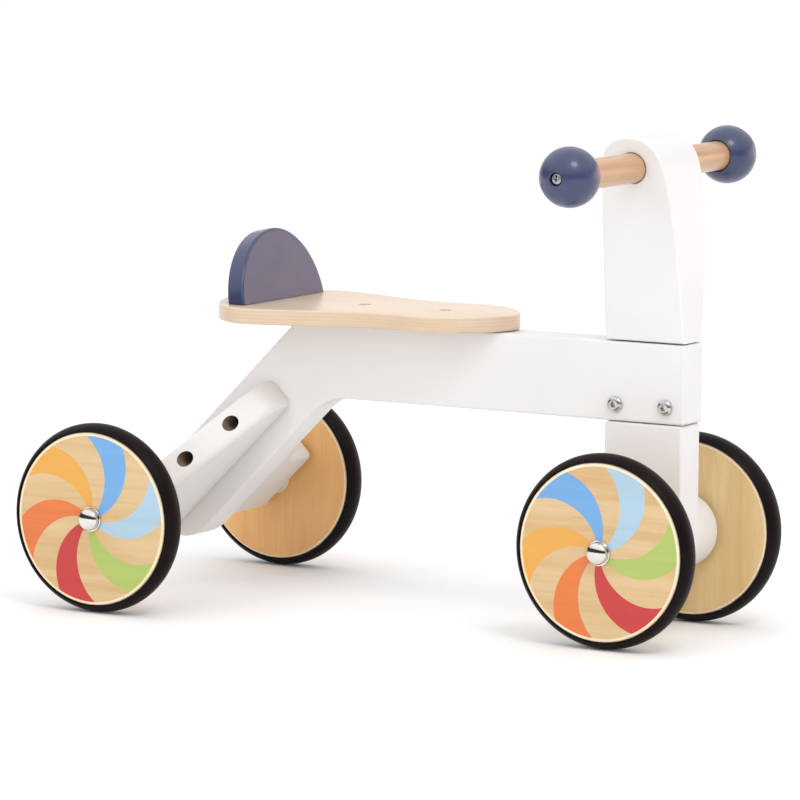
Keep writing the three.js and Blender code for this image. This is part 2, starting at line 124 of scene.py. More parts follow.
def tidy_loop(loop, anticlockwise=True):
    """The loop without doubled points, turned the asked way."""
    kept = [p for p, q in zip(loop, loop[1:] + loop[:1]) if math.dist(p, q) > 1e-4]
    return kept if (area(kept) > 0) == anticlockwise else kept[::-1]


def moved_left(loop, amount):
    """The closed loop moved to its own left by amount."""
    out = []
    for i, here in enumerate(loop):
        here = Vector(here)
        a = (here - Vector(loop[i - 1])).normalized()
        b = (Vector(loop[(i + 1) % len(loop)]) - here).normalized()
        side = (Vector((-a.y, a.x)) + Vector((-b.y, b.x))).normalized()
        out.append(tuple(here + side * amount / max(0.4, side.dot(Vector((-a.y, a.x))))))
    return out


# ---------------------------------------------------------------- solids


class Solid:
    """Points and faces in millimetres, with a material number for each face."""

    def __init__(self):
        self.points = []
        self.faces = []
        self.paint = []

    def ring(self, points):
        first = len(self.points)
        self.points += [Vector(p) for p in points]
        return list(range(first, len(self.points)))

    def face(self, indices, paint=0):
        self.faces.append(tuple(indices))
        self.paint.append(paint)

    def bridge(self, a, b, paint=0):
        for i in range(len(a)):
            j = (i + 1) % len(a)
            self.face((a[i], a[j], b[j], b[i]), paint)

    def transform(self, matrix):
        self.points = [matrix @ p for p in self.points]
        return self

    def mesh(self, name):
        made = bpy.data.meshes.new(name)
        made.from_pydata([p * MM for p in self.points], [], self.faces)
        made.polygons.foreach_set("material_index", self.paint)
        work = bmesh.new()
        work.from_mesh(made)
        bmesh.ops.remove_doubles(work, verts=work.verts, dist=SAME_POINT)
        bmesh.ops.recalc_face_normals(work, faces=work.faces)
        work.to_mesh(made)
        work.free()
        return made


def slab(outer, top, bottom, edge, holes=(), hole_edge=0.4, steps=6):
    """Board in the u-v plane with rounded edges. top and bottom give w from u and v."""
    solid = Solid()
    loops = [(tidy_loop(outer), edge)]
    loops += [(tidy_loop(hole, anticlockwise=False), hole_edge) for hole in holes]
    upper, lower = [], []
    for loop, radius in loops:
        turns = [math.radians(90 * k / steps) for k in range(steps + 1)]
        rings = []
        for height, sign in ((top, -1), (bottom, 1)):
            stack = []
            for a in turns:
                flat = moved_left(loop, radius * (1 - math.sin(a)))
                drop = sign * radius * (1 - math.cos(a))
                stack.append(solid.ring([(u, v, height(u, v) + drop) for u, v in flat]))
            rings.append(stack)
        for stack in rings:
            for a, b in zip(stack, stack[1:]):
                solid.bridge(a, b)
        solid.bridge(rings[0][-1], rings[1][-1])
        upper.append(rings[0][0])
        lower.append(rings[1][0])
    for caps in (upper, lower):
        order = [i for ring in caps for i in ring]
        flat = [[Vector((solid.points[i].x, solid.points[i].y, 0)) for i in ring] for ring in caps]
        for triangle in tessellate_polygon(flat):
            solid.face([order[i] for i in triangle])
    return solid


def level(value):
    return lambda u, v: value


def lathe(profile, segments=128, closed=False):
    """Solid of revolution about Y from (radius, y) points. A closed profile makes a ring-like body."""
    solid = Solid()
    rings = []
    for radius, y in profile:
        if radius < 1e-6:
            rings.append(solid.ring([(0, y, 0)]))
            continue
        turn = [2 * math.pi * k / segments for k in range(segments)]
        rings.append(solid.ring([(radius * math.sin(a), y, radius * math.cos(a)) for a in turn]))
    pairs = list(zip(rings, rings[1:]))
    if closed:
        pairs.append((rings[-1], rings[0]))
    for a, b in pairs:
        if len(a) == 1 or len(b) == 1:
            tip, rim = (a, b) if len(a) == 1 else (b, a)
            for i in range(len(rim)):
                solid.face((tip[0], rim[i], rim[(i + 1) % len(rim)]))
        else:
            solid.bridge(a, b)
    return solid


def at(x, y, z):
    return Matrix.Translation((x, y, z))


def flipped(solid, side):
    """The solid itself on the left, or its mirror image on the right."""
    return solid.transform(Matrix.Diagonal((1, -1, 1, 1))) if side == "right" else solid


def prism(loop, w0, w1, paint=0):
    """Straight prism between two heights, used as a cutter."""
    solid = Solid()
    low = solid.ring([(u, v, w0) for u, v in loop])
    high = solid.ring([(u, v, w1) for u, v in loop])
    solid.bridge(low, high, paint)
    solid.face(low[::-1], paint)
    solid.face(high, paint)
    return solid


def finished_mesh(name, solid, cutters=()):
    """The solid as a mesh, with the cutters taken away."""
    mesh = solid.mesh(name)
    if not cutters:
        return mesh
    body = bpy.data.objects.new("work", mesh)
    bpy.context.scene.collection.objects.link(body)
    tools = []
    for cutter in cutters:
        tool = bpy.data.objects.new("tool", cutter.mesh("tool"))
        bpy.context.scene.collection.objects.link(tool)
        cut = body.modifiers.new("cut", "BOOLEAN")
        cut.operation = "DIFFERENCE"
        cut.solver = "EXACT"
        cut.object = tool
        tools.append(tool)
    graph = bpy.context.evaluated_depsgraph_get()
    result = bpy.data.meshes.new_from_object(body.evaluated_get(graph))
    for used in [body, *tools]:
        bpy.data.objects.remove(used)
    result.name = name
    work = bmesh.new()
    work.from_mesh(result)
    bmesh.ops.remove_doubles(work, verts=work.verts, dist=WELD)
    bmesh.ops.dissolve_degenerate(work, edges=work.edges, dist=WELD)
    work.to_mesh(result)
    work.free()
    return result


def place(node, slot, looks, solid, body=ROOT, cutters=(), sharp=32.0):
    """Makes the shown piece that stands for a CAD node."""
    name = f"{node}_piece"
    mesh = finished_mesh(name, solid, cutters)
    for look in looks if isinstance(looks, (list, tuple)) else [looks]:
        mesh.materials.append(look)
    mesh.polygons.foreach_set("use_smooth", [True] * len(mesh.polygons))
    mesh.set_sharp_from_angle(angle=math.radians(sharp))
    piece = bpy.data.objects.new(name, mesh)
    bpy.context.scene.collection.objects.link(piece)
    soft = piece.modifiers.new("soft_normals", "WEIGHTED_NORMAL")
    soft.keep_sharp = True
    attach(piece, body)
    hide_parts(node)
    return piece


# ---------------------------------------------------------------- materials


class Look:
    """A procedural material under construction."""

    def __init__(self, name):
        self.material = bpy.data.materials.new(name)
        self.material.use_nodes = True
        self.tree = self.material.node_tree
        self.tree.nodes.clear()
        output = self.tree.nodes.new("ShaderNodeOutputMaterial")
        self.bsdf = self.tree.nodes.new("ShaderNodeBsdfPrincipled")
        self.tree.links.new(self.bsdf.outputs[0], output.inputs["Surface"])
        self.place = self.tree.nodes.new("ShaderNodeTexCoord").outputs["Object"]

    def add(self, kind, inputs=(), **settings):
        node = self.tree.nodes.new(kind)
        for key, value in settings.items():
            setattr(node, key, value)
        for key, value in dict(inputs).items():
            self.feed(node.inputs[key], value)
        return node

    def feed(self, socket, value):
        if isinstance(value, bpy.types.NodeSocket):
            self.tree.links.new(value, socket)
        else:
            socket.default_value = value

    def set(self, **values):
        for key, value in values.items():
            self.feed(self.bsdf.inputs[key.replace("_", " ")], value)

    def stretched(self, scale, turn=(0, 0, 0), shift=(0, 0, 0)):
        inputs = {"Vector": self.place, "Location": shift, "Rotation": turn, "Scale": scale}
        return self.add("ShaderNodeMapping", inputs, vector_type="POINT").outputs[0]

    def noise(self, vector, scale, detail=3.0, roughness=0.5, distortion=0.0):
        inputs = {"Vector": vector, "Scale": scale, "Detail": detail}
        inputs.update({"Roughness": roughness, "Distortion": distortion})
        return self.add("ShaderNodeTexNoise", inputs).outputs[0]

    def range(self, value, low, high, out_low=0.0, out_high=1.0):
        inputs = {0: value, 1: low, 2: high, 3: out_low, 4: out_high}
        return self.add("ShaderNodeMapRange", inputs, clamp=True).outputs[0]

    def ramp(self, value, stops, smooth=False):
        node = self.add("ShaderNodeValToRGB", {0: value})
        ramp = node.color_ramp
        ramp.interpolation = "EASE" if smooth else "LINEAR"
        while len(ramp.elements) < len(stops):
            ramp.elements.new(0.5)
        for element, (position, colour) in zip(ramp.elements, stops):
            element.position = position
            element.color = (*colour, 1)
        return node.outputs[0]

    def mix(self, share, a, b, mode="MIX"):
        node = self.add("ShaderNodeMix", data_type="RGBA", blend_type=mode)
        for index, value in ((0, share), (6, a), (7, b)):
            self.feed(node.inputs[index], (*value, 1) if isinstance(value, tuple) else value)
        return node.outputs[2]

    def math(self, operation, a, b=0.0):
        return self.add("ShaderNodeMath", {0: a, 1: b}, operation=operation).outputs[0]

    def bump(self, height, distance, strength=1.0, normal=None):
        inputs = {"Height": height, "Distance": distance, "Strength": strength}
        if normal is not None:
            inputs["Normal"] = normal
        return self.add("ShaderNodeBump", inputs).outputs[0]


def shade(hex_colour, gain=1.0):
    """Linear colour from a hex sRGB one."""
    values = [int(hex_colour[i : i + 2], 16) / 255 for i in (0, 2, 4)]
    linear = [v / 12.92 if v <= 0.04045 else ((v + 0.055) / 1.055) ** 2.4 for v in values]
    return tuple(v * gain for v in linear)


def paint(name, light, dark, rough, coat):
    """Sprayed satin lacquer: faint orange peel, uneven sheen and a little painted shade where parts meet."""
    look = Look(name)
    broad = look.noise(look.place, 9.0, 4.0, 0.55)
    tone = look.ramp(broad, [(0.35, dark), (0.65, light)], smooth=True)
    # Painted shade: ambient occlusion darkens the colour in tight corners and where parts meet.
    near = look.add("ShaderNodeAmbientOcclusion", {"Distance": 0.004}, samples=8).outputs["AO"]
    corner = look.range(near, 0.35, 0.95)
    look.set(Base_Color=look.mix(corner, tuple(c * 0.9 for c in dark), tone))
    sheen = look.noise(look.place, 60.0, 5.0, 0.6)
    look.set(Roughness=look.range(sheen, 0.3, 0.7, rough - 0.05, rough + 0.06))
    peel = look.noise(look.place, 650.0, 2.0, 0.45)
    wave = look.noise(look.place, 90.0, 2.0, 0.4)
    normal = look.bump(wave, 0.00012, 0.35)
    look.set(Normal=look.bump(peel, 0.00003, 0.4, normal))
    look.set(Coat_Weight=coat, Coat_Roughness=0.14, IOR=1.46)
    return look.material


def grain(look, axis, pale, dark, shift=(0.0, 0.0, 0.0), turn=(0.0, 0.0, 0.0), strength=1.0):
    """Fine straight wood grain along an axis. Gives the colour and the height."""
    along = [1.0, 1.0, 1.0]
    along[axis] = 0.07
    base = look.stretched(tuple(along), turn, shift)
    drift = look.noise(base, 16.0, 3.0, 0.5, 0.6)
    bands = look.noise(base, 85.0, 4.0, 0.6, 0.9)
    fine = list(along)
    fine[axis] = 0.03
    streak = look.noise(look.stretched(tuple(fine), turn, shift), 900.0, 2.0, 0.6)
    pores = list(along)
    pores[axis] = 0.09
    fleck = look.noise(look.stretched(tuple(pores), turn, shift), 1500.0, 1.0, 0.4)
    figure = look.math("ADD", look.math("MULTIPLY", drift, 0.55), look.math("MULTIPLY", bands, 0.45))
    middle = tuple((a + b) / 2 for a, b in zip(pale, dark))
    tone = look.ramp(figure, [(0.34, dark), (0.5, middle), (0.64, pale)], smooth=True)
    tone = look.mix(look.range(streak, 0.42, 0.7, 0.0, 0.22 * strength), tone, dark)
    deep = tuple(c * 0.62 for c in dark)
    tone = look.mix(look.range(fleck, 0.66, 0.8, 0.0, 0.30 * strength), tone, deep)
    height = look.math("SUBTRACT", streak, look.math("MULTIPLY", fleck, 0.6))
    return tone, height


def varnished_wood(
    name, axis, pale, dark, rough=0.42, coat=0.15, shift=(0.0, 0.0, 0.0), turn=(0.0, 0.0, 0.0)
):
    look = Look(name)
    tone, height = grain(look, axis, pale, dark, shift, turn)
    look.set(Base_Color=tone, Coat_Weight=coat, Coat_Roughness=0.22)
    look.set(Roughness=look.range(height, 0.0, 0.8, rough + 0.06, rough - 0.05))
    look.set(Normal=look.bump(height, 0.00006, 0.35))
    return look.material


def plywood(name, low, high, plies, pale, dark, glue):
    """Birch plywood with its plies across Z, grain along X on the faces."""
    look = Look(name)
    tone, height = grain(look, 0, pale, dark, strength=0.7)
    z = look.add("ShaderNodeSeparateXYZ", {0: look.place}).outputs["Z"]
    wobble = look.noise(look.stretched((1, 1, 0.2)), 45.0, 2.0)
    level_z = look.math("ADD", z, look.range(wobble, 0.3, 0.7, -0.00012, 0.00012))
    step = look.range(level_z, low, high, 0.0, float(plies))
    step = look.math("MINIMUM", step, plies - 0.02)
    part = look.math("FRACT", step)
    cross = look.math("MODULO", look.math("FLOOR", step), 2.0)
    end = look.noise(look.stretched((1.0, 1.0, 0.25)), 1100.0, 2.0, 0.7)
    end_tone = look.mix(look.range(end, 0.35, 0.65), tuple(c * 0.9 for c in dark), dark)
    tone = look.mix(look.math("MULTIPLY", cross, 0.4), tone, end_tone)
    seam = look.range(look.math("ABSOLUTE", look.math("SUBTRACT", part, 0.5)), 0.43, 0.5)
    above = look.math("GREATER_THAN", step, 0.5)
    inside = look.math("MULTIPLY", above, look.math("LESS_THAN", step, plies - 0.5))
    tone = look.mix(look.math("MULTIPLY", look.math("MULTIPLY", seam, inside), 0.7), tone, glue)
    look.set(Base_Color=tone, Coat_Weight=0.2, Coat_Roughness=0.25)
    look.set(Roughness=look.range(height, 0.0, 0.8, 0.34, 0.24))
    look.set(Normal=look.bump(height, 0.00005, 0.3))
    return look.material


def ink(name, colour, shift):
    """Ink printed on birch: flat colour with the grain just showing through."""
    look = Look(name)
    tone, height = grain(look, 0, (1.0, 1.0, 1.0), (0.86, 0.86, 0.86), shift, strength=0.5)
    look.set(Base_Color=look.mix(1.0, colour, tone, "MULTIPLY"), Coat_Weight=0.15, Coat_Roughness=0.25)
    look.set(Roughness=look.range(height, 0.0, 0.8, 0.46, 0.36))
    look.set(Normal=look.bump(height, 0.00004, 0.25))
    return look.material


def rubber(name):
    look = Look(name)
    cloud = look.noise(look.place, 35.0, 4.0, 0.6)
    look.set(Base_Color=look.ramp(cloud, [(0.3, (0.0055, 0.0030, 0.0027)), (0.7, (0.0085, 0.0048, 0.0043))]))
    look.set(Roughness=look.range(cloud, 0.3, 0.7, 0.36, 0.46))
    mottle = look.noise(look.place, 420.0, 3.0, 0.6)
    look.set(Normal=look.bump(mottle, 0.00004, 0.35), Specular_IOR_Level=0.09)
    return look.material


def metal(name, colour, rough, scratch):
    look = Look(name)
    smear = look.noise(look.place, 120.0, 3.0, 0.5)
    line = look.noise(look.stretched((1.0, 0.12, 1.0)), 1400.0, 2.0, 0.5)
    look.set(Base_Color=look.mix(look.range(smear, 0.3, 0.7), tuple(c * 0.93 for c in colour), colour))
    look.set(Metallic=1.0, Roughness=look.range(smear, 0.3, 0.7, rough * 0.8, rough * 1.3))
    look.set(Normal=look.bump(line, 0.00001, scratch))
    return look.material


def nylon(name):
    look = Look(name)
    cloud = look.noise(look.place, 200.0, 3.0, 0.5)
    look.set(Base_Color=look.mix(cloud, shade("DCD8CE"), shade("EDEAE2")), Subsurface_Weight=0.15)
    look.set(Subsurface_Radius=(0.002, 0.002, 0.002), Roughness=look.range(cloud, 0.3, 0.7, 0.38, 0.5))
    look.set(Normal=look.bump(cloud, 0.00002, 0.3))
    return look.material


WHITE = paint("white_lacquer", (0.785, 0.776, 0.774), (0.765, 0.755, 0.752), 0.42, 0.15)
BLUE = paint("slate_blue_lacquer", (0.036, 0.047, 0.120), (0.032, 0.042, 0.109), 0.36, 0.5)
SEAT_LOW, SEAT_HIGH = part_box("seat")
PLIES = 9
PLY_TONES = (shade("DCC8B2"), shade("D0B495"), shade("BD9D78"))
PLY = plywood("birch_plywood", SEAT_LOW.z, SEAT_HIGH.z, PLIES, *PLY_TONES)
BAR_WOOD = varnished_wood("dowel_beech", 1, shade("D2AA80"), shade("AE7A4A"), rough=0.28, coat=0.6)
RAW_WOOD = varnished_wood("bored_wood", 1, shade("9C8A7B"), shade("6A5444"), rough=0.7, coat=0.0)
RUBBER = rubber("tyre_rubber_look")
STEEL = metal("zinc_steel", (0.62, 0.61, 0.60), 0.24, 0.5)
CHROME = metal("bright_chrome", (0.78, 0.75, 0.73), 0.07, 0.15)
SCREW = metal("dull_nickel", (0.50, 0.48, 0.46), 0.30, 0.4)
NYLON = nylon("white_nylon")

INKS = {
    "amber": shade("E7A94B"),
    "orange": shade("E67B3B"),
    "red": shade("C93A38"),
    "green": shade("B0C465"),
    "light_blue": shade("AECBDF"),
    "blue": shade("72A9DF"),
}

# ---------------------------------------------------------------- frame and post

AXLE = {end: middle_of(f"axle_{end}") for end in ENDS}
BORE_R = 4.4
EDGE_ROUND = 1.6
CORNER_R = 2.0
BEAM_BOTTOM_Z = 144.4
LOWER_POST_TOP_Z = 143.8
LEG_HALF_W = 26.9
INNER_FILLET = 40.0
OUTER_FILLET = 14.0
SQ = math.sqrt(0.5)


def upright(solid):
    """Turns a u-v-w solid so that u is X and v is Z."""
    return solid.transform(Matrix(((1, 0, 0, 0), (0, 0, -1, 0), (0, 1, 0, 0), (0, 0, 0, 1))))


def main_frame():
    high = span("frame_main")[1]
    centre = AXLE["rear"]
    axis = centre.x - centre.z
    under = axis + LEG_HALF_W / SQ
    over = axis - LEG_HALF_W / SQ
    reach = LEG_HALF_W * SQ
    foot = Vector((centre.x - reach, centre.z - reach))
    loop = rounded(
        [
            (high.x, BEAM_BOTTOM_Z, CORNER_R),
            (high.x, high.z, CORNER_R),
            (over + high.z, high.z, OUTER_FILLET),
            (foot.x - reach, foot.y + reach, LEG_HALF_W * 0.999),
            (foot.x + reach, foot.y - reach, LEG_HALF_W * 0.999),
            (under + BEAM_BOTTOM_Z, BEAM_BOTTOM_Z, INNER_FILLET),
        ],
        steps=24,
    )
    half = high.y
    solid = slab(loop, level(half), level(-half), EDGE_ROUND)
    place("frame_main", "white_paint", WHITE, upright(solid))


def head_outline(low, high):
    """Side outline of the upper post: straight back, gently bowed front and a round top."""
    x0, x1, z0, z1 = low.x, high.x, low.z, high.z
    brow = (x1 - 7.6, z1 - 29.0)
    crown = (x0 + 24.4, z1)
    nape = (x0 + 1.9, z1 - 27.0)
    front = bezier((x1, z0), (x1 - 0.2, z0 + 42), (x1 - 2.6, z0 + 76), brow, 30)
    top = bezier(brow, (brow[0] - 2.7, brow[1] + 17), (crown[0] + 15.5, z1), crown, 20)
    back = bezier(crown, (crown[0] - 15.5, z1), (nape[0], nape[1] + 18.5), nape, 20)
    return front + top + back + [nape, (x0, z0)]


def upper_post():
    low, high = span("post_upper")
    bar_low, bar_high = span("handlebar")
    foot_half = span("post_lower")[1].y
    slope = (high.y - foot_half) / (high.z - low.z)
    centre = (bar_low + bar_high) / 2
    hole = arc((centre.x, centre.z), (bar_high.z - bar_low.z) / 2 + 0.35, 0, 360, 96)[:-1]

    def half(u, v):
        return foot_half + (min(v, high.z) - low.z) * slope

    loop = head_outline(low, high)
    solid = slab(loop, half, lambda u, v: -half(u, v), EDGE_ROUND, [hole], 0.5)
    place("post_upper", "white_paint", WHITE, upright(solid))


def lower_post():
    low, high = span("post_lower")
    top = LOWER_POST_TOP_Z
    radius = (high.x - low.x) / 2 * 0.999
    foot = [(low.x, low.z, radius), (high.x, low.z, radius)]
    loop = rounded(foot + [(high.x, top, CORNER_R), (low.x, top, CORNER_R)], steps=24)
    half = high.y
    solid = slab(loop, level(half), level(-half), EDGE_ROUND)
    place("post_lower", "white_paint", WHITE, upright(solid))


def front_spacers():
    for side in SIDES:
        low, high = span(f"front_spacer_{side}")
        r = (high.z - low.z) / 2
        y0, y1 = sorted((abs(low.y), abs(high.y)))
        soft = 1.5
        profile = [(BORE_R, y0), (r, y0), (r, y1 - soft)]
        profile += [(r - soft + soft * math.cos(a), y1 - soft + soft * math.sin(a)) for a in turns(8)]
        profile += [(BORE_R, y1)]
        solid = lathe(profile, closed=True).transform(at(AXLE["front"].x, 0, AXLE["front"].z))
        place(f"front_spacer_{side}", "white_paint", WHITE, flipped(solid, side))


def turns(steps):
    """Angles from 0 to 90 degrees."""
    return [math.radians(90 * k / steps) for k in range(steps + 1)]


# ---------------------------------------------------------------- fasteners


def hexagon(radius):
    return arc((0, 0), radius, 0, 360, 6)[:-1]


def along_y(solid):
    """Turns a solid drawn along W so that it points along +Y."""
    return solid.transform(Matrix(((1, 0, 0, 0), (0, 0, 1, 0), (0, -1, 0, 0), (0, 0, 0, 1))))


def socket_head(node, inward, shank_r, slot="steel"):
    """Button-head bolt or sleeve nut with a hexagon socket; inward is +1 where the shank points to +Y."""
    low, high = span(node)
    centre = (low + high) / 2
    r = (high.z - low.z) / 2
    face = low.y if inward > 0 else high.y
    length = high.y - low.y
    dome = [(r * math.sin(a) ** 0.9, 2.3 * (1 - math.cos(a))) for a in turns(12)]
    profile = [(0, 0.15), (2.7, 0.15), (3.0, 0.0)] + [p for p in dome if p[0] > 3.1]
    profile = [(a, max(b - 0.35, 0.0)) for a, b in profile]
    profile += [(r, 3.2), (shank_r, 3.2), (shank_r, length), (0, length)]
    solid = lathe(profile, 72)
    cutter = along_y(prism(hexagon(2.35), -2.4, 2.4))
    turn = Matrix.Identity(4) if inward > 0 else Matrix.Diagonal((1, -1, 1, 1))
    put = at(centre.x, face, centre.z) @ turn
    cutter = cutter.transform(put @ Matrix.Rotation(CUT_TURN, 4, "Y"))
    place(node, slot, STEEL, solid.transform(put), cutters=[cutter])


def cross_cutter(depth):
    """Phillips recess pointing along +Y from y = 0."""
    w, r = 0.5, 2.1
    loop = [
        (r, -w), (r, w), (w, w), (w, r), (-w, r), (-w, w),
        (-r, w), (-r, -w), (-w, -w), (-w, -r), (w, -r), (w, -w),
    ]
    solid = Solid()
    rings = []
    for y, share in ((-1.0, 1.0), (0.0, 1.0), (depth, 0.55)):
        rings.append(solid.ring([(u * share, y, v * share) for u, v in loop]))
    for a, b in zip(rings, rings[1:]):
        solid.bridge(a, b)
    solid.face(rings[0])
    solid.face(rings[-1][::-1])
    return solid


def cross_screw(node, turn, face, look, slot, r, shank=2.0):
    """Cross-head screw whose head face is at face and whose shank runs along +Y before turning."""
    low, high = span(node)
    length = max(high - low)
    head = [(0, 0.0), (r * 0.55, 0.05)]
    head += [(r * (0.55 + 0.45 * math.sin(a)), 0.05 + 1.0 * (1 - math.cos(a))) for a in turns(8)[1:]]
    profile = head + [(r, 2.2), (shank, 3.0), (shank, length - 1.0), (0, length)]
    put = Matrix.Translation(face) @ turn
    solid = lathe(profile, 64).transform(put)
    cutter = cross_cutter(1.6).transform(put @ Matrix.Rotation(CUT_TURN, 4, "Y"))
    place(node, slot, look, solid, cutters=[cutter])


# ---------------------------------------------------------------- handlebar


def handlebar():
    low, high = span("handlebar")
    centre = (low + high) / 2
    r = (high.z - low.z) / 2
    half = (high.y - low.y) / 2
    soft = [(r - 1 + math.sin(a), half - 1 + math.cos(a)) for a in turns(6)]
    profile = [(0, half)] + soft + [(a, -b) for a, b in reversed(soft)] + [(0, -half)]
    solid = lathe(profile, 128).transform(at(centre.x, 0, centre.z))
    place("handlebar", "bar_wood", BAR_WOOD, solid)
    for side in SIDES:
        ball(side, centre, r, half)


def ball(side, centre, bar_r, bar_half):
    node = f"handlebar_ball_{side}"
    low, high = span(node)
    y0, y1 = sorted((abs(low.y), abs(high.y)))
    radius = (high.z - low.z) / 2
    screw_low, screw_high = span(f"ball_screw_{side}")
    mouth = bar_r + 0.35
    recess = 4.4
    middle = 113.4
    inner = math.degrees(math.asin((mouth + 0.6) / radius))
    outer = math.degrees(math.asin((recess + 0.5) / radius))
    profile = [(mouth, middle - math.sqrt(radius**2 - mouth**2) + 1.2)]
    for k in range(65):
        a = math.radians(inner + (180 - inner - outer) * k / 64)
        profile.append((radius * math.sin(a), middle - radius * math.cos(a)))
    floor = middle + 15.6
    lip = middle + math.sqrt(radius**2 - (recess + 0.5) ** 2)
    profile += [(recess + 0.15, lip - 0.12), (recess, lip - 0.5), (recess, floor), (2.2, floor)]
    profile += [(2.2, bar_half + 0.3), (mouth, bar_half + 0.3)]
    solid = lathe(profile, 144, closed=True).transform(at(centre.x, 0, centre.z))
    place(node, "blue_paint", BLUE, flipped(solid, side))
    face = max(abs(screw_low.y), abs(screw_high.y))
    if side == "left":
        turn = Matrix.Diagonal((1, -1, 1, 1))
        where = (centre.x, face, centre.z)
    else:
        turn = Matrix.Identity(4)
        where = (centre.x, -face, centre.z)
    cross_screw(f"ball_screw_{side}", turn, where, SCREW, "chrome", 3.8)


# ---------------------------------------------------------------- seat and backrest

SCREW_HEAD_R = 4.2
SEAT_HOLE_R = 4.5


def seat_outline(low, high):
    """Saddle outline from above: wide rounded rear, waist, and a nose."""
    x0, x1, w = low.x, high.x, high.y
    lobe = (x0 + 46.0, w)
    waist = (x0 + 143.0, 43.8)
    bulge = (x0 + 173.0, 46.4)
    half = bezier((x0, 0), (x0, 30.0), (lobe[0] - 21.0, w), lobe)
    half += bezier(lobe, (lobe[0] + 26.0, w), (waist[0] - 31.0, waist[1]), waist)
    half += bezier(waist, (waist[0] + 12.0, waist[1]), (bulge[0] - 11.0, bulge[1]), bulge)
    half += bezier(bulge, (bulge[0] + 26.0, bulge[1]), (x1, 15.0), (x1, 0))
    return half + [(x1, 0)] + [(u, -v) for u, v in reversed(half[1:])]


def seat():
    low, high = span("seat")
    holes = []
    for end in ENDS:
        node = f"seat_screw_{end}"
        x = middle_of(node).x
        holes.append(arc((x, 0), SEAT_HOLE_R, 0, 360, 64)[:-1])
        turn = Matrix.Rotation(math.radians(-90), 4, "X")
        cross_screw(node, turn, (x, 0, span(node)[1].z), STEEL, "steel", SCREW_HEAD_R)
    solid = slab(seat_outline(low, high), level(high.z), level(low.z), 1.1, holes, 0.35)
    place("seat", "seat_plywood", PLY, solid)


BACK_LEAN = math.radians(11.0)
BACK_R = 53.7
BACK_SINK = 3.8
BACK_T = 13.0
BACK_FOOT_X = -105.5


def backrest():
    loop = arc((0, -BACK_SINK), BACK_R, -5, 185, 96)
    solid = slab(loop, level(0), level(-BACK_T), 1.8)
    stand = Matrix(((0, 0, 1, 0), (1, 0, 0, 0), (0, 1, 0, 0), (0, 0, 0, 1)))
    foot_z = span("seat")[1].z
    put = at(BACK_FOOT_X, 0, foot_z) @ Matrix.Rotation(-BACK_LEAN, 4, "Y") @ stand
    solid.transform(put)
    cutter = prism(arc((-105.0, 0), 90.0, 0, 360, 24)[:-1], foot_z - 40, foot_z + 0.3)
    place("backrest", "blue_paint", BLUE, solid, cutters=[cutter])
    for side in SIDES:
        node = f"backrest_screw_{side}"
        centre = middle_of(node)
        turn = Matrix.Rotation(math.radians(90), 4, "X")
        where = (centre.x, centre.y, span(node)[0].z)
        cross_screw(node, turn, where, STEEL, "steel", SCREW_HEAD_R)


# ---------------------------------------------------------------- rear brackets

# Side outline of a bracket: S runs down along the leg, and Y out from the middle of the bike
BRACKET_TOP_S = -33.0
BRACKET_BOTTOM_S = 103.0
BRACKET_STEP_S = 44.0
BRACKET_STEP_Y = 76.6
BRACKET_HEEL_Y = 31.4
BRACKET_HEEL_R = 27.0
BRACKET_CORNER_R = 4.4
BRACKET_HALF_W = 11.0
BRACKET_EDGE = 4.0
BRACKET_HOLE_R = 5.2
BRACKET_SEAT_Y = 30.0


def rear_brackets():
    axle = AXLE["rear"]
    axle_n = (axle.x - axle.z) * SQ
    legwise = Matrix(
        (
            (-SQ, 0, SQ, axle_n * SQ),
            (0, 1, 0, 0),
            (-SQ, 0, -SQ, -axle_n * SQ),
            (0, 0, 0, 1),
        )
    )
    for side in SIDES:
        low, high = span(f"rear_bracket_{side}")
        inner, outer = sorted((abs(low.y), abs(high.y)))
        root = inner - BRACKET_EDGE - 1.0
        loop = rounded(
            [
                (BRACKET_TOP_S, root, BRACKET_EDGE + 0.2),
                (BRACKET_BOTTOM_S, root, BRACKET_EDGE + 0.2),
                (BRACKET_BOTTOM_S, outer, BRACKET_CORNER_R),
                (BRACKET_STEP_S, outer, BRACKET_CORNER_R),
                (BRACKET_STEP_S, BRACKET_STEP_Y, 3.0),
                (BRACKET_TOP_S, BRACKET_HEEL_Y, BRACKET_HEEL_R),
            ],
            steps=16,
        )
        solid = slab(loop, level(BRACKET_HALF_W), level(-BRACKET_HALF_W), BRACKET_EDGE)
        solid.transform(legwise)
        cutters = []
        for where in ("upper", "lower"):
            centre = middle_of(f"bracket_bolt_{where}")
            circle = arc((0, 0), BRACKET_HOLE_R, 0, 360, 72)[:-1]
            hole = prism(circle, BRACKET_SEAT_Y, 120, paint=1)
            cutters.append(along_y(hole).transform(at(centre.x, 0, centre.z)))
        cutters = [flipped(c, side) for c in cutters]
        place(f"rear_bracket_{side}", "white_paint", [WHITE, RAW_WOOD], flipped(solid, side), cutters=cutters)


# ---------------------------------------------------------------- wheels

DISC_R = 59.5
PRINT_R = 57.2
ARM_CURVE_R = 76.0
ARM_PHASE = {"front": 142.0, "rear": 89.5}
INNER_FACE = 8
# Bare inner disc faces, one birch tone pair for each wheel with painted light in it: the rear left pair is
# lightened to make up for the shade the bike casts on that face.
INNER_TONES_AND_LIGHT = {
    "front_left": ("E6CB98", "D3AE70"),
    "front_right": ("E2C494", "CFA66E"),
    "rear_left": ("F2C283", "DDA25C"),
    "rear_right": ("E0B984", "CB9A60"),
}
ARM_ORDER = ("amber", "orange", "red", "green", "light_blue", "blue")
SPOKES = 12
STEPS_PER_SPOKE = 10


